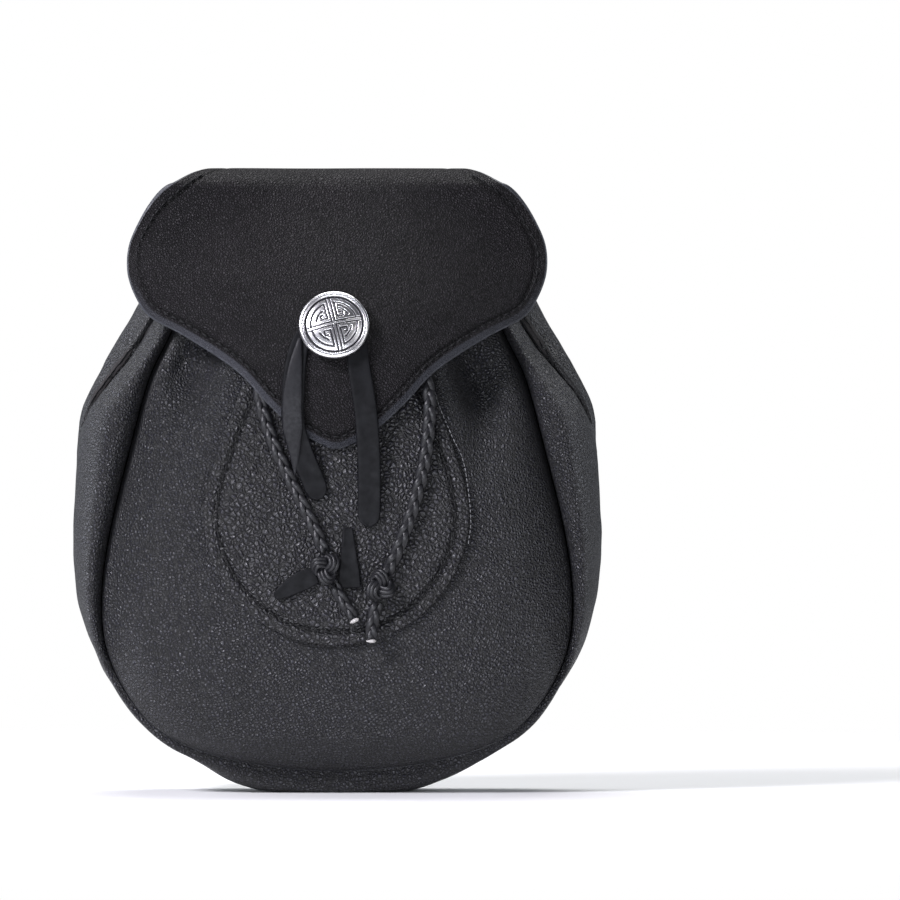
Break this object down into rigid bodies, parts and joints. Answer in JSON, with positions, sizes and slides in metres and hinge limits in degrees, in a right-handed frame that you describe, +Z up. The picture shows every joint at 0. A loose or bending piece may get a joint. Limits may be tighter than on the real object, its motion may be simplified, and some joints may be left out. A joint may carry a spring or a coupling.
{
  "type": "sporran pouch",
  "caption": "Black leather sporran pouch with gathered front, curved flap, cast button, braided drawcord and riveted ring hanger.",
  "frame": {"origin": "on the flattened bottom of the gusset, under the middle of the pouch", "axes": "+Z up to the flap's roll, -Y out of the front, +X to the right as the front is seen"},
  "size_m": [0.2168, 0.0894, 0.256],
  "materials": {
    "pouch_leather": "pebbled, soft sheen",
    "patch_leather": "coarse shrunken grain",
    "flap_leather": "fine grain, matt",
    "thong_leather": "smooth, matt",
    "braid": "glossy braided strands",
    "cast_metal": "bright cast, dark recesses",
    "ring_metal": "bright",
    "rivet_metal": "satin"
  },
  "bodies": {
    "pouch": {"front_panel": "pouch_leather", "gusset": "pouch_leather", "back_panel": "pouch_leather", "front_patch": "patch_leather", "flap": "flap_leather", "hanger_plate": "flap_leather", "thong_left": "thong_leather", "thong_right": "thong_leather", "knot_tab_low": "thong_leather", "knot_tab_high": "thong_leather", "tail_left": "thong_leather", "tail_right": "thong_leather", "drawcord_neck": "braid", "drawcord_left": "braid", "drawcord_right": "braid", "knot_left": "braid", "knot_right": "braid", "button": "cast_metal", "rivet_top_left": "rivet_metal", "rivet_top_right": "rivet_metal", "rivet_bottom_left": "rivet_metal", "rivet_bottom_right": "rivet_metal"},
    "ring_left": {"ring_left": "ring_metal"},
    "ring_right": {"ring_right": "ring_metal"}
  },
  "joints": [
    {"name": "ring_left_swing", "type": "hinge", "parent": "pouch", "child": "ring_left", "pos_m": [-0.0204, 0.01682, 0.23936], "axis": [-0.8625, 0.0792, -0.4998], "range_deg": [-12, 150]},
    {"name": "ring_right_swing", "type": "hinge", "parent": "pouch", "child": "ring_right", "pos_m": [0.0204, 0.01682, 0.23936], "axis": [-0.8625, -0.0792, 0.4998], "range_deg": [-12, 150]}
  ]
}
